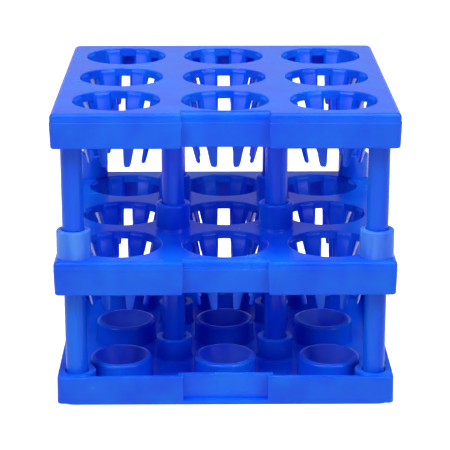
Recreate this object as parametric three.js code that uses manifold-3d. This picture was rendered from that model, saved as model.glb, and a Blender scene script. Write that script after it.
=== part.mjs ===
// Three-tier test tube rack with nine places, moulded in polypropylene.
// Millimetres, +Z up, the slotted label side faces -Y, origin at the middle of the base's underside.
//
// The rack comes apart into a base tray, a middle plate and a top plate, joined by sixteen round
// posts.  Eight lower posts are pressed into blind bosses under the middle plate and stand in the
// open sockets of the base tray.  Eight upper posts do the same between the top and middle plates.
import * as THREE from 'three';
import { mergeVertices } from 'three/addons/utils/BufferGeometryUtils.js';
import Module from 'manifold-3d';

const wasm = await Module();
wasm.setup();

// ---- driving dimensions ----------------------------------------------------------------------
const PLATE_SIZE = 117.6;        // outside of the square plates and of the base
const PITCH = 37.3;              // centre to centre of the tube places
const HOLE_RADIUS = 15;          // tube holes, for tubes up to 30 mm
const TOP_Z = 104;               // upper face of the top plate
const MIDDLE_Z = 52.3;           // upper face of the middle plate
const RIM_Z = 10.6;              // rim of the base tray, its cups and its sockets

const PLATE_THICKNESS = 3;       // the flat sheet of a plate
const SKIRT_HEIGHT = 12;         // from a plate's upper face to its lower edge
const WALL = 1.8;                // skirt and tray wall
const EDGE_ROUND = 1.4;          // rounding along a plate's upper edge
const CORNER_ROUND = 1.2;        // vertical corners of plates and tray wall
const PLATE_DRAFT = 0.3;         // how far the skirt leans in at its lower edge
const TRAY_DRAFT = 0.15;         // how far the tray wall leans in at its rim

const RECESS_HALF_WIDTH = 14.6;  // plain middle part of the front, set back from the two side parts
const RECESS_DEPTH = 2.5;

const FINGERS_PER_HOLE = 8;
const FINGER_TIP_DROP = 21.3;    // below the plate's upper face

const CORNER_POST = { x: 52.1, y: 50.7, radius: 3.8, socketRadius: 5.95, traySocketRadius: 6.6 };
const INNER_POST = { x: PITCH / 2, y: PITCH / 2, radius: 4.0, socketRadius: 6.15, traySocketRadius: 6.45 };
const SOCKET_HEIGHT = 9.7;       // above the middle plate
const BOSS_DROP = 11;            // lower end of the bosses, below the plate's upper face
const BOSS_ROOF = 2.5;           // material left above a boss's blind bore
const SIDE_CLEARANCE = 0.2;      // post to bore, on the radius
const END_CLEARANCE = 0.3;       // post to the end of a bore
const TRAY_COUNTERBORE = { radius: 4.6, depth: 3.4 };

const FLOOR_THICKNESS = 2;
const FLANGE_THICKNESS = 1.1;    // the base's lowest band, with its own round corners
const FLANGE_CORNER = 5;
const FLANGE_LEDGE = 0.15;       // how far the wall stands in from the flange
const CUP = { rimRadius: 11.0, footRadius: 11.3, wall: 1.7, floorZ: 2.4, floorRadius: 5.2 };

const HOLE_SIDES = 24;
const CUP_SIDES = 24;
const POST_SIDES = 16;
const CORNER_STEPS = 3;

const BLUE = 0x1f5fe8;
const BLUE_LIGHT = 0x3a78f2;

// ---- solids ----------------------------------------------------------------------------------
function toSolid(geometry) {
  const bare = geometry.index ? geometry.toNonIndexed() : geometry.clone();
  for (const name of Object.keys(bare.attributes)) {
    if (name !== 'position') bare.deleteAttribute(name);
  }
  const merged = mergeVertices(bare, 1e-4);
  return new wasm.Manifold(new wasm.Mesh({
    numProp: 3,
    vertProperties: new Float32Array(merged.attributes.position.array),
    triVerts: new Uint32Array(merged.index.array),
  }));
}

function toGeometry(solid) {
  const mesh = solid.getMesh();
  const geometry = new THREE.BufferGeometry();
  geometry.setAttribute('position', new THREE.BufferAttribute(new Float32Array(mesh.vertProperties), 3));
  geometry.setIndex(new THREE.BufferAttribute(new Uint32Array(mesh.triVerts), 1));
  geometry.computeVertexNormals();
  return geometry;
}

// A closed skin over rings of points that all have the same number of points, lowest ring first.
function skin(rings) {
  const count = rings[0].length;
  const positions = rings.flat().flatMap((point) => [point.x, point.y, point.z]);
  const index = [];
  for (let ring = 0; ring + 1 < rings.length; ring += 1) {
    for (let i = 0; i < count; i += 1) {
      const a = ring * count + i;
      const b = ring * count + (i + 1) % count;
      index.push(a, b, b + count, a, b + count, a + count);
    }
  }
  const flat = (ring) => ring.map((point) => new THREE.Vector2(point.x, point.y));
  for (const [p, q, r] of THREE.ShapeUtils.triangulateShape(flat(rings[0]), [])) index.push(p, r, q);
  const last = (rings.length - 1) * count;
  for (const [p, q, r] of THREE.ShapeUtils.triangulateShape(flat(rings.at(-1)), [])) {
    index.push(last + p, last + q, last + r);
  }
  const geometry = new THREE.BufferGeometry();
  geometry.setAttribute('position', new THREE.BufferAttribute(new Float32Array(positions), 3));
  geometry.setIndex(index);
  return geometry;
}

// A turned solid: profile pairs are [radius, z], from the axis round to the axis.
function turned(profile, sides, x = 0, y = 0) {
  const points = profile.map(([radius, z]) => new THREE.Vector2(radius, z));
  const geometry = new THREE.LatheGeometry(points, sides);
  geometry.rotateX(Math.PI / 2);
  geometry.translate(x, y, 0);
  return geometry;
}

function cylinder(radius, bottom, top, sides, x = 0, y = 0) {
  return toSolid(turned([[0, bottom], [radius, bottom], [radius, top], [0, top]], sides, x, y));
}

function unite(solids) {
  return solids.reduce((whole, solid) => whole.add(solid));
}

function cut(solid, cutters) {
  return cutters.reduce((rest, cutter) => rest.subtract(cutter), solid);
}

// ---- outline of the plates and of the tray wall ----------------------------------------------
// The square with its front middle part set back, moved in by inset all round.
function outline(inset, z, cornerRadius = CORNER_ROUND, recessed = true) {
  const half = PLATE_SIZE / 2 - inset;
  const radius = Math.max(cornerRadius - inset, 0.3);
  const points = [];
  const corners = [[1, -1, -90], [1, 1, 0], [-1, 1, 90], [-1, -1, 180]];
  for (const [sideX, sideY, startDegrees] of corners) {
    for (let step = 0; step <= CORNER_STEPS; step += 1) {
      const angle = THREE.MathUtils.degToRad(startDegrees + 90 * step / CORNER_STEPS);
      points.push(new THREE.Vector3(
        sideX * (half - radius) + radius * Math.cos(angle),
        sideY * (half - radius) + radius * Math.sin(angle),
        z,
      ));
    }
  }
  if (recessed) {
    const stepX = RECESS_HALF_WIDTH + inset;
    const frontY = -half;
    for (const [x, y] of [
      [-stepX, frontY], [-stepX, frontY + RECESS_DEPTH],
      [stepX, frontY + RECESS_DEPTH], [stepX, frontY],
    ]) points.push(new THREE.Vector3(x, y, z));
  }
  return points;
}

// ---- the tube places and the posts -----------------------------------------------------------
const places = [];
for (const row of [-1, 0, 1]) {
  for (const column of [-1, 0, 1]) places.push([column * PITCH, row * PITCH]);
}

const posts = [];
for (const [depthName, sideY] of [['front', -1], ['back', 1]]) {
  for (const [sideName, sideX] of [['left', -1], ['right', 1]]) {
    posts.push({ ...CORNER_POST, x: sideX * CORNER_POST.x, y: sideY * CORNER_POST.y,
      name: `corner_post_${depthName}_${sideName}` });
    posts.push({ ...INNER_POST, x: sideX * INNER_POST.x, y: sideY * INNER_POST.y,
      name: `inner_post_${depthName}_${sideName}` });
  }
}

// ---- a flexible finger -----------------------------------------------------------------------
// Sections run down the finger: how far below the plate's face, the radii of its inner and outer
// faces from the hole's axis, and the widths of those two faces.
const FINGER_SECTIONS = [
  { drop: 2, inner: 14.3, outer: 16.2, innerWidth: 4.6, outerWidth: 8.3 },
  { drop: FINGER_TIP_DROP, inner: 9.3, outer: 10.3, innerWidth: 1.4, outerWidth: 2.1 },
];

function fingerSolid(topZ, holeX, holeY, angle) {
  const radial = new THREE.Vector2(Math.cos(angle), Math.sin(angle));
  const across = new THREE.Vector2(-radial.y, radial.x);
  const corner = (section, radius, halfWidth) => new THREE.Vector3(
    holeX + radial.x * radius + across.x * halfWidth,
    holeY + radial.y * radius + across.y * halfWidth,
    topZ - section.drop,
  );
  const rings = [...FINGER_SECTIONS].reverse().map((section) => [
    corner(section, section.inner, -section.innerWidth / 2),
    corner(section, section.outer, -section.outerWidth / 2),
    corner(section, section.outer, section.outerWidth / 2),
    corner(section, section.inner, section.innerWidth / 2),
  ]);
  return toSolid(skin(rings));
}

// ---- plates ----------------------------------------------------------------------------------
function plateSolid(topZ, socketHeight) {
  const bottomZ = topZ - SKIRT_HEIGHT;
  const undersideZ = topZ - PLATE_THICKNESS;
  const shell = toSolid(skin([
    outline(PLATE_DRAFT, bottomZ),
    outline(0, topZ - EDGE_ROUND),
    outline(EDGE_ROUND * 0.3, topZ - EDGE_ROUND * 0.3),
    outline(EDGE_ROUND, topZ),
  ]));
  const hollow = toSolid(skin([
    outline(WALL + PLATE_DRAFT, bottomZ - 1),
    outline(WALL, undersideZ),
  ]));
  const bosses = posts.map((post) => (
    cylinder(post.socketRadius, topZ - BOSS_DROP, undersideZ + 0.5, POST_SIDES, post.x, post.y)));
  const added = [cut(shell, [hollow]), ...bosses];
  const bores = posts.map((post) => (
    cylinder(post.radius + SIDE_CLEARANCE, bottomZ - 1, topZ - BOSS_ROOF, POST_SIDES, post.x, post.y)));
  if (socketHeight > 0) {
    const rimZ = topZ + socketHeight;
    for (const post of posts) {
      added.push(cylinder(post.socketRadius, topZ - 1, rimZ, POST_SIDES, post.x, post.y));
      bores.push(cylinder(post.radius + SIDE_CLEARANCE, topZ, rimZ + 1, POST_SIDES, post.x, post.y));
    }
  }
  const holes = places.map(([x, y]) => (
    cylinder(HOLE_RADIUS, bottomZ - 1, topZ + socketHeight + 1, HOLE_SIDES, x, y)));
  const fingers = [];
  for (const [x, y] of places) {
    for (let i = 0; i < FINGERS_PER_HOLE; i += 1) {
      fingers.push(fingerSolid(topZ, x, y, (i + 0.5) * 2 * Math.PI / FINGERS_PER_HOLE));
    }
  }
  // The bores come last, so that the fingers' wide roots stay clear of the posts.
  return cut(cut(unite(added), holes).add(unite(fingers)), bores);
}

// ---- base tray -------------------------------------------------------------------------------
function cupSolid(x, y) {
  return toSolid(turned([
    [0, FLOOR_THICKNESS - 1], [CUP.footRadius, FLOOR_THICKNESS - 1],
    [CUP.rimRadius, RIM_Z], [0, RIM_Z],
  ], CUP_SIDES, x, y));
}

function cupHollow(x, y) {
  const mouth = CUP.rimRadius - CUP.wall;
  return toSolid(turned([
    [0, CUP.floorZ], [CUP.floorRadius, CUP.floorZ], [mouth, RIM_Z], [mouth, RIM_Z + 1], [0, RIM_Z + 1],
  ], CUP_SIDES, x, y));
}

function traySolid() {
  const flange = toSolid(skin([
    outline(0, 0, FLANGE_CORNER, false),
    outline(0, FLANGE_THICKNESS, FLANGE_CORNER, false),
  ]));
  const wallOutside = toSolid(skin([
    outline(FLANGE_LEDGE, FLANGE_THICKNESS - 0.2),
    outline(FLANGE_LEDGE + TRAY_DRAFT, RIM_Z),
  ]));
  const inside = toSolid(skin([
    outline(WALL + FLANGE_LEDGE, FLOOR_THICKNESS),
    outline(WALL + FLANGE_LEDGE + TRAY_DRAFT, RIM_Z + 1),
  ]));
  const standing = places.map(([x, y]) => cupSolid(x, y));
  for (const post of posts) {
    standing.push(cylinder(post.traySocketRadius, FLOOR_THICKNESS - 1, RIM_Z, POST_SIDES, post.x, post.y));
  }
  // Each corner is filled to the rim between its socket and the two walls.
  for (const sideX of [-1, 1]) {
    for (const sideY of [-1, 1]) {
      const reach = PLATE_SIZE / 2 - 0.5;
      const width = reach - CORNER_POST.x + 1;
      const depth = reach - CORNER_POST.y + 1;
      const height = RIM_Z - 1;
      const land = new THREE.BoxGeometry(width, depth, height);
      land.translate(sideX * (reach - width / 2), sideY * (reach - depth / 2), 1 + height / 2);
      standing.push(toSolid(land));
    }
  }
  const walls = wallOutside.subtract(inside);
  const wallMiddle = toSolid(skin([
    outline(FLANGE_LEDGE + WALL / 2, FLOOR_THICKNESS - 1),
    outline(FLANGE_LEDGE + WALL / 2, RIM_Z),
  ]));
  const inner = unite(standing).intersect(wallMiddle);
  const bores = [];
  for (const post of posts) {
    bores.push(cylinder(post.radius + SIDE_CLEARANCE, FLOOR_THICKNESS, RIM_Z + 1, POST_SIDES, post.x, post.y));
    bores.push(cylinder(TRAY_COUNTERBORE.radius, RIM_Z - TRAY_COUNTERBORE.depth, RIM_Z + 1,
      POST_SIDES, post.x, post.y));
  }
  const floor = toSolid(skin([
    outline(FLANGE_LEDGE + WALL / 2, FLANGE_THICKNESS - 0.2),
    outline(FLANGE_LEDGE + WALL / 2, FLOOR_THICKNESS),
  ]));
  const body = unite([flange, floor, walls, inner]);
  return cut(body, [...places.map(([x, y]) => cupHollow(x, y)), ...bores]);
}

// ---- posts -----------------------------------------------------------------------------------
function postGeometry(radius, bottom, top) {
  return turned([[0, bottom], [radius, bottom], [radius, top], [0, top]], POST_SIDES);
}

// ---- assembly --------------------------------------------------------------------------------
const rack = new THREE.Group();

function addPiece(parent, name, geometry, colour) {
  const material = new THREE.MeshStandardMaterial({ color: colour, roughness: 0.35, metalness: 0 });
  const mesh = new THREE.Mesh(geometry, material);
  mesh.name = name;
  parent.add(mesh);
  return mesh;
}

addPiece(rack, 'base_tray', toGeometry(traySolid()), BLUE);
addPiece(rack, 'middle_plate', toGeometry(plateSolid(MIDDLE_Z, SOCKET_HEIGHT)), BLUE);
addPiece(rack, 'top_plate', toGeometry(plateSolid(TOP_Z, 0)), BLUE);

const storeys = [
  { name: 'lower', bottom: FLOOR_THICKNESS, ceiling: MIDDLE_Z - BOSS_ROOF },
  { name: 'upper', bottom: MIDDLE_Z, ceiling: TOP_Z - BOSS_ROOF },
];
for (const storey of storeys) {
  const bottom = storey.bottom + END_CLEARANCE;
  const top = storey.ceiling - END_CLEARANCE;
  for (const post of posts) {
    const geometry = postGeometry(post.radius, bottom, top);
    addPiece(rack, `${storey.name}_${post.name}`, geometry, BLUE_LIGHT).position.set(post.x, post.y, 0);
  }
}

export default rack;
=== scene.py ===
import math

import bmesh
import bpy
from mathutils import Euler, Matrix, Vector


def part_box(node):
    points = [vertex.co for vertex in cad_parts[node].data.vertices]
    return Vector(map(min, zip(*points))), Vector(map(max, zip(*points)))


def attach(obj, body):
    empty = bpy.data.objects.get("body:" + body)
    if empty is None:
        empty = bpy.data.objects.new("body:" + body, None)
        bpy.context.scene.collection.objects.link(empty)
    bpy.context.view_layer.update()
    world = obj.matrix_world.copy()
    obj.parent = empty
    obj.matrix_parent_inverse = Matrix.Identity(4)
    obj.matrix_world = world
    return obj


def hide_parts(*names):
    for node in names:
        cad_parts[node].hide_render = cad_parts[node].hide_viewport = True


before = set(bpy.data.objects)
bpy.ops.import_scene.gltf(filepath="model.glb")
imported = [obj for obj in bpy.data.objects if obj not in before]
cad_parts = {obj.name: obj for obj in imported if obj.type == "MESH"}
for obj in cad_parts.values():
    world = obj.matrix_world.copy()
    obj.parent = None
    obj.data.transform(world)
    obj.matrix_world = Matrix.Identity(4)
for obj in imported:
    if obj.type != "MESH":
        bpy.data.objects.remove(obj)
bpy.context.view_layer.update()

MM = 0.001

# ---- sizes read from the frame ----------------------------------------------------------------


def box_mm(node):
    """The lowest and highest corners of a CAD node, in millimetres."""
    low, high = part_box(node)
    return low / MM, high / MM


class Post:
    """A post as the frame holds it: its axis, radius and ends."""

    def __init__(self, node):
        low, high = box_mm(node)
        self.node = node
        self.x = (low.x + high.x) / 2
        self.y = (low.y + high.y) / 2
        self.radius = (high.x - low.x) / 2
        self.bottom = low.z
        self.top = high.z
        self.inner = "inner" in node


LOWER_POSTS = [Post(node) for node in sorted(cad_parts) if node.startswith("lower_")]
UPPER_POSTS = [Post(node) for node in sorted(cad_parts) if node.startswith("upper_")]

# The two front corner sockets of the middle plate are paler than the other six.
PALE_SOCKETS = [post for post in LOWER_POSTS if not post.inner and post.y < 0]
PLAIN_SOCKETS = [post for post in LOWER_POSTS if post.inner or post.y > 0]

FINGER_TIP_DROP = 21.3           # the fingers' tips, below the plate's upper face
HALF = box_mm("base_tray")[1].x  # half the width of the plates and of the base
RIM_Z = box_mm("base_tray")[1].z
TOP_Z = box_mm("top_plate")[1].z
MIDDLE_Z = box_mm("middle_plate")[0].z + FINGER_TIP_DROP
SOCKET_RIM_Z = box_mm("middle_plate")[1].z
PITCH = 2 * max(post.x for post in LOWER_POSTS if post.inner)
PLACES = [(column * PITCH, row * PITCH) for row in (-1, 0, 1) for column in (-1, 0, 1)]

# ---- sizes of the finer shapes, in millimetres ------------------------------------------------
PLATE_THICKNESS = 3.0
SKIRT_HEIGHT = 12.0
WALL = 1.8
PLATE_DRAFT = 0.3                # how far the skirt leans in at its lower edge
CEILING_ROUND = 0.7              # where the skirt's inside meets the ceiling
INNER_EDGE_ROUND = 0.4           # lower inside edge of the skirts
EDGE_ROUND = 1.4                 # upper edge of the plates
MIDDLE_EDGE_ROUND = 2.5          # the same edge along the set-back middle of the front
LOWER_ROUND = 0.8                # lower edge of the skirts
CORNER_ROUND = 1.8               # vertical corners at the front
BACK_CORNER_ROUND = 3.0          # the same at the back
LEAST_CORNER_ROUND = 0.3         # what is left of a corner's round deep inside it
RECESS_HALF_WIDTH = 14.6
RECESS_DEPTH = 2.5
PAD_CORNER_ROUND = 0.25          # upright edges of the steps beside it
LEDGE_DROP = 3.1                 # the parting line round the plates, below the upper face
LEDGE_RISE = 0.15                # height of its sloping shelf
TOP_LEDGE_STEP = 0.2             # how far the wall above it stands in, round the top plate
MIDDLE_LEDGE_STEP = 0.06         # the same round the middle plate
RECESS_LEDGE_STEP = 0.4          # the same along the set-back middle of both
RECESS_LEDGE_DROP = 0.3          # how much lower it lies there

HOLE_RADIUS = 15.0
HOLE_LIP = 0.5                   # rounding of a hole's upper edge
HOLE_OVERRUN = 6                 # how far a hole's cutter reaches below the skirt
FINGERS_PER_HOLE = 8
# Down each finger: drop below the plate's upper face, radii of the inner and outer faces, their widths.
FINGER_SECTIONS = [
    (0.55, 14.95, 16.2, 4.6, 8.5),
    (0.75, 14.62, 16.2, 4.6, 8.5),
    (1.05, 14.38, 16.2, 4.6, 8.6),
    (1.45, 14.30, 16.2, 4.6, 8.7),
    (2.20, 14.28, 16.2, 4.6, 8.8),
    (3.20, 14.00, 16.1, 4.5, 8.8),
    (6.00, 13.28, 15.2, 4.2, 8.0),
    (10.0, 12.24, 13.7, 3.7, 6.4),
    (15.3, 10.85, 11.9, 3.0, 4.4),
    (19.6, 9.74, 10.8, 2.2, 3.3),
    (20.6, 9.50, 10.55, 1.8, 2.8),
    (21.1, 9.50, 10.45, 1.5, 2.3),
    (FINGER_TIP_DROP, 9.65, 10.25, 1.0, 1.6),
]
FINGER_EDGE_ROUND = 0.35

SOCKET_RADIUS = {False: 5.95, True: 6.15}       # keyed by Post.inner
TRAY_SOCKET_RADIUS = {False: 6.6, True: 6.45}
FOOT_FLARE = {False: 0.0, True: 0.5}            # the inner sockets widen a little at the foot
SOCKET_FOOT_RISE = 0.9           # how high that reaches on the middle plate
SOCKET_TAPER = 0.05              # how much slimmer a socket is at its rim
SOCKET_ROUND = 0.7               # rounding of its rim
BORE_CLEARANCE = 0.2             # post to bore, on the radius
BORE_LIP = 0.35                  # rounding of a bore's mouth
BOSS_DROP = 11.0                 # lower end of the bosses, below the plate's upper face
BOSS_ROOF = 2.5                  # material left above a boss's bore
BOSS_FOOT_RISE = 1.0             # how far from the ceiling a boss begins to widen
BOSS_ROUND = 0.5                 # rounding of its lower end and of its foot
COUNTERBORE = {"extra": 0.35, "depth": 3.4}     # how much wider than the posts it is, and how deep

FLOOR_THICKNESS = 2.0
BORE_SINK = 0.2                  # how far the tray's bores reach into the floor
FLANGE_THICKNESS = 1.1
FLANGE_CORNER = 6.5
FLANGE_LEDGE = 0.05              # how far the wall stands in from the flange
TRAY_CORNER_ROUND = 2.3
TRAY_DRAFT = 0.15                # how far the tray's wall leans in at its rim
TRAY_RIM_ROUND = 0.45
TRAY_FLOOR_ROUND = 0.8
TRAY_SOCKET_FOOT_RISE = 0.8
CUP = {"rim": 11.0, "foot": 11.3, "wall": 1.6, "floor_z": 2.4, "floor": 5.2}
CUP_LIP = {"outer": 1.1, "inner": 0.22, "fall": 0.12}
CUP_FLARE = 0.4                  # width and height of the fillet at a cup's foot
LAND_START = 1.0                 # from a corner post's axis inwards
LAND_INSET = 0.8                 # from the outside of the tray
LAND_DROP = 0.02                 # below the rim
LAND_ROUND = 0.35
BOW = 0.5                        # how far the tray's middle stands above its two sides

POST_TAPER = 0.05                # how much slimmer a post is at its upper end
POST_FOOT_EASE = 0.02            # the same at its foot
POST_END_ROUND = 0.5

# Parts that are joined reach into each other, and cutters reach past what they cut.
PLATE_ROOT = 0.9                 # how deep the sockets reach into the middle plate
FLOOR_ROOT = 0.6                 # how deep cups and sockets reach into the tray's floor
SUNK = 0.1                       # how far their feet are sunk below the face they stand on
BOSS_ROOT = 0.8                  # how deep the bosses reach into a plate
BOSS_SUNK = 0.2
RIM_REACH = 1.5                  # from the outside of a socket or a post to where its flat end is closed
BOSS_RIM_REACH = 1.2
CEILING_REACH = 2.0              # the same under a plate, on a plate and on the tray's floor
FACE_REACH = 4.0
TRAY_REACH = 3
FLANGE_REACH = 0.8
CUT_PAST = 1                     # how far a cutter stands out of the face it starts from
CUT_SKIM = 0.001                 # keeps a cutter's edge off the plane of a boss's end
RIM_SKIM = 0.01                  # keeps the tray sockets' rims off the plane of the cups'

HOLE_SIDES = 96
POST_SIDES = 48
ARC_STEPS = 5
STRAIGHT = math.radians(89.9)    # half the angle of a corner that is as good as straight
SHARP_ANGLE = math.radians(32)
WELD_DISTANCE = 1e-4

# ---- outlines ---------------------------------------------------------------------------------


def soften(corners, closed=False, steps=ARC_STEPS):
    """The outline through (x, y, radius) corners, each one rounded by an arc of its own radius."""
    points = []
    for i, (x, y, radius) in enumerate(corners):
        here = Vector((x, y))
        if radius <= 0 or (not closed and i in (0, len(corners) - 1)):
            points.append(here)
            continue
        before = (Vector(corners[i - 1][:2]) - here).normalized()
        after = (Vector(corners[(i + 1) % len(corners)][:2]) - here).normalized()
        half_angle = before.angle(after) / 2
        if half_angle > STRAIGHT:
            points.append(here)
            continue
        centre = here + (before + after).normalized() * radius / math.sin(half_angle)
        reach = radius / math.tan(half_angle)
        start = here + before * reach - centre
        finish = here + after * reach - centre
        sweep = start.angle(finish)
        for step in range(steps + 1):
            share = step / steps
            weights = math.sin((1 - share) * sweep), math.sin(share * sweep)
            points.append(centre + (start * weights[0] + finish * weights[1]) / math.sin(sweep))
    return points


def front_recess_ring(edge, middle, side_inset, corner_round=CORNER_ROUND):
    """A ring round the rack's square plan.  edge and middle are (inset, z): for the outline itself,
    and for the set-back middle of its front, whose inset counts from the front face.  side_inset
    moves the two steps between them apart."""
    inset, z = edge
    middle_inset, middle_z = middle
    half = HALF - inset
    step_x = RECESS_HALF_WIDTH + side_inset
    recess_y = -HALF + middle_inset
    front = max(corner_round - inset, LEAST_CORNER_ROUND)
    back = max(BACK_CORNER_ROUND - inset, LEAST_CORNER_ROUND)
    pad = PAD_CORNER_ROUND
    corners = [
        (-half, -half, front), (-step_x, -half, pad), (-step_x, recess_y, pad),
        (step_x, recess_y, pad), (step_x, -half, pad), (half, -half, front),
        (half, half, back), (-half, half, back),
    ]
    heights = [z, z, middle_z, middle_z, z, z, z, z]
    outline = soften(corners, closed=True)
    return [Vector((p.x, p.y, heights[i // (ARC_STEPS + 1)])) for i, p in enumerate(outline)]


def plain_ring(inset, z, corner_round):
    """A ring round the plan without its recess."""
    half = HALF - inset
    radius = max(corner_round - inset, LEAST_CORNER_ROUND)
    corners = [(-half, -half, radius), (half, -half, radius), (half, half, radius), (-half, half, radius)]
    return [Vector((p.x, p.y, z)) for p in soften(corners, closed=True, steps=8)]


# ---- closed skins and the joining and cutting of solids ---------------------------------------


class Solid:
    """Closed skins that don't touch each other, gathered in one mesh."""

    def __init__(self):
        self.points = []
        self.faces = []

    def skin(self, rings):
        """Closes a skin over rings of equally many points, which run counter-clockwise seen from above."""
        count = len(rings[0])
        first = len(self.points)
        last = first + (len(rings) - 1) * count
        for ring in rings:
            self.points.extend(ring)
        for start in range(first, last, count):
            for i in range(count):
                a = start + i
                b = start + (i + 1) % count
                self.faces.append((a, b, b + count, a + count))
        self.faces.append(tuple(reversed(range(first, first + count))))
        self.faces.append(tuple(range(last, last + count)))
        return self

    def turn(self, profile, x=0.0, y=0.0, sides=POST_SIDES):
        """Turns a profile of (radius, z) points round the upright axis through x, y."""
        angles = [2 * math.pi * (i + 0.5) / sides for i in range(sides)]
        return self.skin([
            [Vector((x + r * math.cos(a), y + r * math.sin(a), z)) for a in angles]
            for r, z in profile
        ])


def mesh_object(name, solid, material):
    mesh = bpy.data.meshes.new(name)
    mesh.from_pydata(solid.points, [], solid.faces)
    mesh.materials.append(material)
    thing = bpy.data.objects.new(name, mesh)
    bpy.context.scene.collection.objects.link(thing)
    return thing


def combine(thing, solid, operation, material=None):
    """Joins a solid to the thing (UNION) or cuts it away (DIFFERENCE)."""
    other = mesh_object("operand", solid, material or thing.data.materials[0])
    modifier = thing.modifiers.new("combine", "BOOLEAN")
    modifier.solver = "MANIFOLD"
    modifier.operation = operation
    modifier.material_mode = "TRANSFER"
    modifier.object = other
    evaluated = thing.evaluated_get(bpy.context.evaluated_depsgraph_get())
    mesh = bpy.data.meshes.new_from_object(evaluated)
    thing.modifiers.clear()
    before = thing.data
    thing.data = mesh
    bpy.data.meshes.remove(before)
    spent = other.data
    bpy.data.objects.remove(other)
    bpy.data.meshes.remove(spent)


def join(thing, other):
    """Joins another object to the thing, which then holds both."""
    solid = Solid()
    solid.points = [v.co.copy() for v in other.data.vertices]
    solid.faces = [tuple(p.vertices) for p in other.data.polygons]
    combine(thing, solid, "UNION", other.data.materials[0])
    bpy.data.objects.remove(other)


def finish_mesh(thing):
    """Cleans the mesh, scales it to metres and shades it smooth between its sharp edges."""
    work = bmesh.new()
    work.from_mesh(thing.data)
    bmesh.ops.remove_doubles(work, verts=work.verts, dist=WELD_DISTANCE)
    bmesh.ops.dissolve_degenerate(work, edges=work.edges, dist=WELD_DISTANCE)
    for face in work.faces:
        face.smooth = True
    for edge in work.edges:
        edge.smooth = edge.is_manifold and edge.calc_face_angle(math.pi) < SHARP_ANGLE
    work.to_mesh(thing.data)
    work.free()
    thing.data.transform(Matrix.Scale(MM, 4))
    thing.data.name = thing.name
    weigh = thing.modifiers.new("normals", "WEIGHTED_NORMAL")
    weigh.keep_sharp = True
    return thing


# ---- materials --------------------------------------------------------------------------------
BLUE = (0.0, 0.045, 0.80)
PALE_BLUE = (0.010, 0.29, 1.0)
STRESSED_BLUE = (0.09, 0.34, 0.97)
DULL_BLUE = (0.08, 0.22, 0.90)
CLOUD_SCALE = 60.0               # of the noise that makes the colour cloudy
CLOUD_RANGE = (0.35, 0.75)       # the noise values where the colour changes
GLOSS_RANGE = (0.3, 0.7)         # the noise values where the gloss changes
GRAIN_SCALE = 2600.0             # of the noise that stands for the mould's grain
GRAIN_DEPTH = 0.00005
# Painted light: the rack's outside and top are painted paler, because they catch the light and the inside
# lies in shade.
OUTSIDE_PAINTED_LIGHT = 0.2               # how far the paler colour, painted light for the lit outer faces, shows on the outside
PAINTED_LIGHT_SIDES = (0.038, 0.050)      # metres from the rack's axis where that begins and is complete
PAINTED_LIGHT_TOP = (0.088, 0.104)        # the same for the height


def node(tree, kind, **inputs):
    """A shader node with its inputs set: a value, or another node's output."""
    made = tree.nodes.new(kind)
    for name, value in inputs.items():
        socket = made.inputs[name.replace("_", " ")]
        if isinstance(value, bpy.types.NodeSocket):
            tree.links.new(value, socket)
        else:
            socket.default_value = value
    return made


def set_shader_constants(shader):
    shader.inputs["IOR"].default_value = 1.49
    shader.inputs["Specular IOR Level"].default_value = 0.24
    shader.inputs["Subsurface Weight"].default_value = 0.45
    shader.inputs["Subsurface Radius"].default_value = (0.15, 0.3, 1.0)
    shader.inputs["Subsurface Scale"].default_value = 0.0025


def map_range(tree, value, source, target):
    """Maps a value from the source range to the target range, held to the target's ends."""
    made = node(tree, "ShaderNodeMapRange", Value=value)
    for end, amount in zip(("From Min", "From Max", "To Min", "To Max"), (*source, *target)):
        made.inputs[end].default_value = amount
    return made.outputs["Result"]


def math_node(tree, operation, *values):
    made = tree.nodes.new("ShaderNodeMath")
    made.operation = operation
    for socket, value in zip(made.inputs, values):
        tree.links.new(value, socket)
    return made.outputs["Value"]


def painted_outside_light(tree, spot):
    """How far a spot lies on the rack's outside or high at its top, where a paler colour is painted as
    painted light for the light that falls there.
    """
    parts = node(tree, "ShaderNodeSeparateXYZ", Vector=spot).outputs
    from_axis = [math_node(tree, "ABSOLUTE", parts[axis]) for axis in "XY"]
    across = math_node(tree, "MAXIMUM", *from_axis)
    side = map_range(tree, across, PAINTED_LIGHT_SIDES, (0.0, OUTSIDE_PAINTED_LIGHT))
    top = map_range(tree, parts["Z"], PAINTED_LIGHT_TOP, (0.0, OUTSIDE_PAINTED_LIGHT))
    return math_node(tree, "MAXIMUM", side, top)


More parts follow.
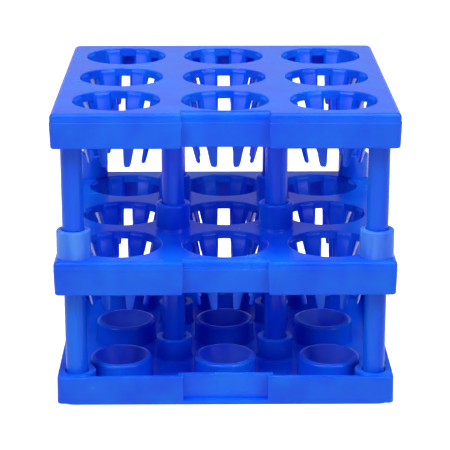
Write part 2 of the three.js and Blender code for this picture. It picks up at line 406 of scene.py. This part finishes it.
def plastic(name, colour, pale, whitening=(0.0, 0.3), roughness=(0.20, 0.28), grain=0.05, stretch=1.0):
    """Gloss polypropylene: slightly cloudy colour, light scattered under the skin, a faint mould grain, and
    a paler colour painted on the lit outside and top as painted light.
    whitening is how far the clouds go from colour to pale.  stretch below 1 draws them out into
    upright streaks."""
    material = bpy.data.materials.new(name)
    material.use_nodes = True
    tree = material.node_tree
    shader = tree.nodes["Principled BSDF"]
    set_shader_constants(shader)
    spot = node(tree, "ShaderNodeTexCoord").outputs["Object"]
    drawn = node(tree, "ShaderNodeMapping", Vector=spot, Scale=(1, 1, stretch)).outputs["Vector"]
    clouds = node(tree, "ShaderNodeTexNoise", Vector=drawn, Scale=CLOUD_SCALE / stretch ** 0.5, Detail=3.0)
    cloudiness = clouds.outputs["Fac"]
    fine = node(tree, "ShaderNodeTexNoise", Vector=spot, Scale=GRAIN_SCALE, Detail=2.0)
    mix = tree.nodes.new("ShaderNodeMix")
    mix.data_type = "RGBA"
    mix.inputs["A"].default_value = (*colour, 1)
    mix.inputs["B"].default_value = (*pale, 1)
    cloudy = map_range(tree, cloudiness, CLOUD_RANGE, whitening)
    # adds the painted light: paler on the lit outside and top
    tree.links.new(math_node(tree, "ADD", cloudy, painted_outside_light(tree, spot)), mix.inputs["Factor"])
    tree.links.new(mix.outputs["Result"], shader.inputs["Base Color"])
    tree.links.new(map_range(tree, cloudiness, GLOSS_RANGE, roughness), shader.inputs["Roughness"])
    bump = node(tree, "ShaderNodeBump", Height=fine.outputs["Fac"], Strength=grain, Distance=GRAIN_DEPTH)
    tree.links.new(bump.outputs["Normal"], shader.inputs["Normal"])
    return material


MOULDED = plastic("moulded_polypropylene", BLUE, PALE_BLUE)
SOCKETS = plastic("stressed_polypropylene", BLUE, STRESSED_BLUE, whitening=(0.1, 0.95), stretch=0.2)
CONES = plastic("textured_polypropylene", BLUE, DULL_BLUE, whitening=(0.0, 0.6),
                roughness=(0.42, 0.60), grain=0.6)
POSTS = plastic("post_polypropylene", BLUE, PALE_BLUE, stretch=0.1)

# ---- plates -----------------------------------------------------------------------------------


def plate_rings(top, ledge_step):
    """From the ceiling under the plate down the inside of the skirt, and up the outside to the top.
    ledge_step is the parting line's step everywhere but in the set-back middle of the front."""
    bottom = top - SKIRT_HEIGHT
    ceiling = top - PLATE_THICKNESS

    def profile(face, step, ledge_z, edge_round):
        return soften([
            (face + WALL + CEILING_REACH, ceiling, 0), (face + WALL, ceiling, CEILING_ROUND),
            (face + WALL + PLATE_DRAFT, bottom, INNER_EDGE_ROUND), (face + PLATE_DRAFT, bottom, LOWER_ROUND),
            (face, ledge_z, step / 3), (face + step, ledge_z + LEDGE_RISE, step / 3),
            (face + step, top, edge_round), (face + step + FACE_REACH, top, 0),
        ])

    ledge_z = top - LEDGE_DROP
    edge = profile(0.0, ledge_step, ledge_z, EDGE_ROUND)
    middle = profile(RECESS_DEPTH, RECESS_LEDGE_STEP, ledge_z - RECESS_LEDGE_DROP, MIDDLE_EDGE_ROUND)
    crest = ledge_step + PAD_CORNER_ROUND
    over_ledge = len(edge) - 3 * (ARC_STEPS + 1)
    rings = []
    for i, (e, m) in enumerate(zip(edge, middle)):
        side = e.x if i < over_ledge else min(e.x, crest)
        rings.append(front_recess_ring(tuple(e), tuple(m), side))
    return rings


def hole_cutters(top):
    """The tube holes, rounded where they meet the upper face."""
    bottom = top - SKIRT_HEIGHT - HOLE_OVERRUN
    lip = soften([
        (HOLE_RADIUS, bottom, 0), (HOLE_RADIUS, top, HOLE_LIP), (HOLE_RADIUS + 2, top, 0),
    ])[:-1]
    solid = Solid()
    for x, y in PLACES:
        solid.turn([*lip, (HOLE_RADIUS + HOLE_LIP, top + CUT_PAST)], x, y, HOLE_SIDES)
    return solid


def finger_ring(section, top, x, y, angle):
    """A rounded trapezoid, bent round the axis of its hole."""
    drop, inner, outer, inner_width, outer_width = section
    edge = min(FINGER_EDGE_ROUND, inner_width / 3, (outer - inner) / 3)
    outline = soften([
        (inner, -inner_width / 2, edge), (outer, -outer_width / 2, edge),
        (outer, 0, 0), (outer, outer_width / 2, edge),
        (inner, inner_width / 2, edge), (inner, 0, 0),
    ], closed=True, steps=3)
    ring = []
    for radius, across in outline:
        turn = angle + across / max(radius, 1)
        ring.append(Vector((x + radius * math.cos(turn), y + radius * math.sin(turn), top - drop)))
    return ring


def fingers(top):
    """All the flexible fingers of a plate."""
    solid = Solid()
    for x, y in PLACES:
        for i in range(FINGERS_PER_HOLE):
            angle = (i + 0.5) * 2 * math.pi / FINGERS_PER_HOLE
            solid.skin([finger_ring(s, top, x, y, angle) for s in reversed(FINGER_SECTIONS)])
    return solid


def bosses(top):
    """Blind bosses under a plate, which hold the upper ends of the posts below it."""
    ceiling = top - PLATE_THICKNESS
    solid = Solid()
    for post in LOWER_POSTS:
        radius = SOCKET_RADIUS[post.inner]
        foot = radius + FOOT_FLARE[post.inner]
        solid.turn(soften([
            (radius - BOSS_RIM_REACH, top - BOSS_DROP, 0), (radius, top - BOSS_DROP, BOSS_ROUND),
            (radius, ceiling - BOSS_FOOT_RISE, BOSS_ROUND), (foot, ceiling + BOSS_SUNK, 0),
            (foot - 0.2, ceiling + BOSS_ROOT, 0),
        ]), post.x, post.y)
    return solid


def boss_bores(top):
    """The blind bores of the bosses, open downwards."""
    solid = Solid()
    for post in LOWER_POSTS:
        radius = post.radius + BORE_CLEARANCE
        mouth = top - BOSS_DROP
        solid.turn(soften([
            (radius + 1, mouth - CUT_PAST, 0), (radius + BORE_LIP, mouth - CUT_SKIM, 0),
            (radius, mouth + BORE_LIP, 0.2), (radius, top - BOSS_ROOF, 0),
        ]), post.x, post.y)
    return solid


def sockets(posts, top, rim):
    """Open sockets on a plate, each with a rounded rim.  The inner ones widen at the foot."""
    solid = Solid()
    for post in posts:
        radius = SOCKET_RADIUS[post.inner]
        foot = radius + FOOT_FLARE[post.inner]
        solid.turn(soften([
            (foot, top - PLATE_ROOT, 0), (foot, top - SUNK, 0), (radius, top + SOCKET_FOOT_RISE, 0.5),
            (radius - SOCKET_TAPER, rim, SOCKET_ROUND), (radius - RIM_REACH, rim, 0),
        ]), post.x, post.y)
    return solid


def socket_bores(posts, floor, rim):
    """The bores of the sockets, from their floor to their rounded mouth."""
    solid = Solid()
    for post in posts:
        radius = post.radius + BORE_CLEARANCE
        solid.turn(soften([
            (radius, floor, 0), (radius, rim, BORE_LIP), (radius + 2, rim, 0),
        ])[:-1] + [(radius + BORE_LIP, rim + CUT_PAST)], post.x, post.y)
    return solid


def hole_clearances(top, rim):
    """Keeps what stands on a plate out of the tube holes."""
    radius = HOLE_RADIUS + 0.1
    solid = Solid()
    for x, y in PLACES:
        solid.turn([(radius, top - 2), (radius, rim + CUT_PAST)], x, y, HOLE_SIDES)
    return solid


def plate(name, top, ledge_step, socket_rim=None):
    """A plate with its holes, fingers and bosses, and with sockets up to socket_rim if it has any."""
    thing = mesh_object(name, Solid().skin(plate_rings(top, ledge_step)), MOULDED)
    combine(thing, bosses(top), "UNION")
    if socket_rim:
        combine(thing, sockets(PLAIN_SOCKETS, top, socket_rim), "UNION")
        combine(thing, socket_bores(PLAIN_SOCKETS, top, socket_rim), "DIFFERENCE")
    combine(thing, hole_cutters(top), "DIFFERENCE")
    if socket_rim:
        pale = mesh_object("pale_sockets", sockets(PALE_SOCKETS, top, socket_rim), SOCKETS)
        combine(pale, hole_clearances(top, socket_rim), "DIFFERENCE")
        combine(pale, socket_bores(PALE_SOCKETS, top, socket_rim), "DIFFERENCE")
        join(thing, pale)
    combine(thing, fingers(top), "UNION")
    combine(thing, boss_bores(top), "DIFFERENCE")
    return finish_mesh(thing)


# ---- base tray --------------------------------------------------------------------------------


def tray_rings():
    """From inside the flange up the outside of the wall, over its rim and down to the floor."""

    def profile(face):
        outside = face + FLANGE_LEDGE
        inside = outside + WALL
        return soften([
            (outside + TRAY_REACH, FLANGE_THICKNESS / 2, 0), (outside, FLANGE_THICKNESS / 2, 0.05),
            (outside + TRAY_DRAFT, RIM_Z, TRAY_RIM_ROUND), (inside + TRAY_DRAFT, RIM_Z, TRAY_RIM_ROUND),
            (inside, FLOOR_THICKNESS, TRAY_FLOOR_ROUND), (inside + TRAY_REACH, FLOOR_THICKNESS, 0),
        ])

    return [
        front_recess_ring(tuple(e), tuple(m), e.x, TRAY_CORNER_ROUND)
        for e, m in zip(profile(0.0), profile(RECESS_DEPTH))
    ]


def flange():
    """The tray's lowest band, which runs straight past the front's recess."""
    profile = soften([
        (FLANGE_REACH, 0, 0), (0.0, 0, 0.35),
        (0.0, FLANGE_THICKNESS, 0.3), (FLANGE_REACH, FLANGE_THICKNESS, 0),
    ])
    return Solid().skin([plain_ring(inset, z, FLANGE_CORNER) for inset, z in profile])


def cups():
    """The cups that hold the tubes' ends, still without their seats."""
    foot = CUP["foot"] + CUP_FLARE
    solid = Solid()
    for x, y in PLACES:
        solid.turn(soften([
            (foot, FLOOR_THICKNESS - FLOOR_ROOT, 0), (foot, FLOOR_THICKNESS - SUNK, 0),
            (CUP["foot"], FLOOR_THICKNESS + CUP_FLARE, 0.3),
            (CUP["rim"], RIM_Z - CUP_LIP["fall"], CUP_LIP["outer"]), (CUP["rim"] - CUP["wall"], RIM_Z, 0),
        ]), x, y, HOLE_SIDES)
    return solid


def cup_cones():
    """The conical seats of the tubes, a touch rounded at the mouth."""
    mouth = CUP["rim"] - CUP["wall"]
    solid = Solid()
    for x, y in PLACES:
        solid.turn(soften([
            (1.0, CUP["floor_z"], 0), (CUP["floor"], CUP["floor_z"], 1.5), (mouth, RIM_Z, CUP_LIP["inner"]),
            (mouth + 1, RIM_Z, 0),
        ])[:-1] + [(mouth + CUP_LIP["inner"], RIM_Z + CUT_PAST)], x, y, HOLE_SIDES)
    return solid


def corner_lands():
    """The fill between each corner socket and the two walls, level with the rim."""
    far = HALF - LAND_INSET
    level = RIM_Z - LAND_DROP
    solid = Solid()
    for post in LOWER_POSTS:
        if post.inner:
            continue
        side_x = math.copysign(1, post.x)
        side_y = math.copysign(1, post.y)
        near_x = abs(post.x) - LAND_START
        near_y = abs(post.y) - LAND_START
        rings = []
        for inset, z in soften([(0, 1, 0), (0, level, LAND_ROUND), (1.0, level, 0)]):
            corners = [
                (near_x + inset, near_y + inset), (far - inset, near_y + inset),
                (far - inset, far - inset), (near_x + inset, far - inset),
            ]
            ring = [Vector((side_x * x, side_y * y, z)) for x, y in corners]
            rings.append(ring if side_x * side_y > 0 else ring[::-1])
        solid.skin(rings)
    return solid


def tray_sockets():
    """The tray's sockets for the lower posts."""
    rim = RIM_Z - RIM_SKIM
    solid = Solid()
    for post in LOWER_POSTS:
        radius = TRAY_SOCKET_RADIUS[post.inner]
        foot = radius + FOOT_FLARE[post.inner]
        solid.turn(soften([
            (foot, FLOOR_THICKNESS - FLOOR_ROOT, 0), (foot, FLOOR_THICKNESS - SUNK, 0),
            (radius, FLOOR_THICKNESS + TRAY_SOCKET_FOOT_RISE, 0.4),
            (radius, rim, 0.5), (radius - RIM_REACH, rim, 0),
        ]), post.x, post.y)
    return solid


def tray_bores():
    """The bores of the tray's sockets, wider at the mouth."""
    solid = Solid()
    for post in LOWER_POSTS:
        radius = post.radius + BORE_CLEARANCE
        wide = post.radius + COUNTERBORE["extra"]
        step_z = RIM_Z - COUNTERBORE["depth"]
        solid.turn(soften([
            (radius, FLOOR_THICKNESS - BORE_SINK, 0), (radius, step_z - 0.5, 0), (wide, step_z, 0),
            (wide, RIM_Z, BORE_LIP), (wide + 2, RIM_Z, 0),
        ])[:-1] + [(wide + BORE_LIP, RIM_Z + CUT_PAST)], post.x, post.y)
    return solid


def base_tray():
    """The tray, made flat and then bowed: along x its underside rises by BOW in the middle, and its
    rim falls by as much at the two sides."""
    thing = mesh_object("base_tray_body", Solid().skin(tray_rings()), MOULDED)
    combine(thing, flange(), "UNION")
    combine(thing, cups(), "UNION")
    combine(thing, cup_cones(), "DIFFERENCE", CONES)
    combine(thing, corner_lands(), "UNION")
    combine(thing, tray_sockets(), "UNION")
    combine(thing, tray_bores(), "DIFFERENCE")
    for vertex in thing.data.vertices:
        raised = BOW * (1 - (vertex.co.x / HALF) ** 2)
        vertex.co.z = vertex.co.z * (1 - BOW / RIM_Z) + raised
    return finish_mesh(thing)


# ---- posts ------------------------------------------------------------------------------------


def post_piece(post):
    """A round post with rounded ends, a trace slimmer at the top as it left its mould."""
    top_radius = post.radius - POST_TAPER
    solid = Solid().turn(soften([
        (post.radius - RIM_REACH, post.bottom, 0),
        (post.radius - POST_FOOT_EASE, post.bottom, POST_END_ROUND),
        (top_radius, post.top, POST_END_ROUND), (top_radius - RIM_REACH, post.top, 0),
    ]), post.x, post.y)
    return finish_mesh(mesh_object(post.node + "_body", solid, POSTS))


# ---- the pieces on their bodies ---------------------------------------------------------------


def place(piece, body, node_name):
    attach(piece, body)
    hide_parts(node_name)


place(base_tray(), "base", "base_tray")
middle_plate = plate("middle_plate_body", MIDDLE_Z, MIDDLE_LEDGE_STEP, SOCKET_RIM_Z)
place(middle_plate, "middle_tier", "middle_plate")
place(plate("top_plate_body", TOP_Z, TOP_LEDGE_STEP), "top_tier", "top_plate")
for post in LOWER_POSTS:
    place(post_piece(post), "middle_tier", post.node)
for post in UPPER_POSTS:
    place(post_piece(post), "top_tier", post.node)

# ---- floor, light and camera ------------------------------------------------------------------
CAMERA_AT = (-4.9, -605.0, 236.1)
CAMERA_DOWN = 17.32              # degrees below level
CAMERA_YAW = -0.493              # degrees, to the right of straight ahead
CAMERA_LENS = 135.7
SENSOR_WIDTH = 36
LIGHTS_AIM = (0, 0, 50)
FLOOR_REACH = 4000
FLOOR_Z = (-20, -0.05)           # underside and upper face
FLOOR_GLOW = 0.9                 # makes the pale floor plain white in the picture
TABLE_LIGHT = 1.05               # from below the horizon
ROOM_LIGHT = 0.03                # from above it
TABLE_EDGE = (-0.12, 0.0)        # the world's height where the table gives way to the room
BACKDROP_LIGHT = 0.66
BACKDROP_EDGE = (0.21, 0.36)     # heights in the sky where the backdrop fades out
BACKDROP_SIDES = (0.25, 0.80)    # how far a direction points to the back where it begins and is full


def make_floor():
    """A pale glowing slab, which the rack's surfaces neither gather light from nor mirror."""
    corners = [(FLOOR_REACH * x, FLOOR_REACH * y) for x, y in ((-1, -1), (1, -1), (1, 1), (-1, 1))]
    solid = Solid().skin([[Vector((x, y, z)) for x, y in corners] for z in FLOOR_Z])
    material = bpy.data.materials.new("pale_floor")
    material.use_nodes = True
    shader = material.node_tree.nodes["Principled BSDF"]
    shader.inputs["Base Color"].default_value = (0.92, 0.92, 0.92, 1)
    shader.inputs["Roughness"].default_value = 0.8
    shader.inputs["Specular IOR Level"].default_value = 0.1
    shader.inputs["Emission Color"].default_value = (1, 1, 1, 1)
    shader.inputs["Emission Strength"].default_value = FLOOR_GLOW
    floor = mesh_object("floor", solid, material)
    floor.data.transform(Matrix.Scale(MM, 4))
    floor.visible_diffuse = False
    floor.visible_glossy = False


def area_light(name, place_mm, size_mm, power):
    light = bpy.data.lights.new(name, "AREA")
    light.shape = "RECTANGLE"
    light.size = size_mm[0] * MM
    light.size_y = size_mm[1] * MM
    light.energy = power
    thing = bpy.data.objects.new(name, light)
    thing.location = Vector(place_mm) * MM
    thing.rotation_euler = (Vector(LIGHTS_AIM) - Vector(place_mm)).to_track_quat("-Z", "Y").to_euler()
    bpy.context.scene.collection.objects.link(thing)


def make_world():
    """A dim room over a bright table, with a glowing backdrop low down behind the rack."""
    world = bpy.data.worlds.new("studio")
    world.use_nodes = True
    tree = world.node_tree
    direction = node(tree, "ShaderNodeTexCoord").outputs["Generated"]
    parts = node(tree, "ShaderNodeSeparateXYZ", Vector=direction).outputs
    table = map_range(tree, parts["Z"], TABLE_EDGE, (TABLE_LIGHT, ROOM_LIGHT))
    low = map_range(tree, parts["Z"], BACKDROP_EDGE, (BACKDROP_LIGHT, 0))
    behind = map_range(tree, parts["Y"], BACKDROP_SIDES, (0, 1))
    backdrop = math_node(tree, "MULTIPLY", low, behind)
    strength = math_node(tree, "MAXIMUM", table, backdrop)
    tree.links.new(strength, tree.nodes["Background"].inputs["Strength"])
    tree.nodes["Background"].inputs["Color"].default_value = (1, 1, 1, 1)
    bpy.context.scene.world = world


def make_camera():
    camera = bpy.data.cameras.new("camera")
    camera.lens = CAMERA_LENS
    camera.sensor_width = SENSOR_WIDTH
    thing = bpy.data.objects.new("camera", camera)
    thing.location = Vector(CAMERA_AT) * MM
    thing.rotation_euler = Euler((math.radians(90 - CAMERA_DOWN), 0, math.radians(CAMERA_YAW)))
    bpy.context.scene.collection.objects.link(thing)
    bpy.context.scene.camera = thing


make_floor()
make_world()
area_light("above_left", (-400, -450, 850), (420, 420), 4.4)
area_light("above_right", (400, -450, 850), (420, 420), 4.4)
area_light("front_left", (-750, -700, 420), (300, 450), 1.7)
area_light("front_right", (750, -700, 420), (300, 450), 1.6)
area_light("overhead", (0, 0, 800), (600, 500), 2.2)
make_camera()
bpy.context.scene.view_settings.view_transform = "Standard"
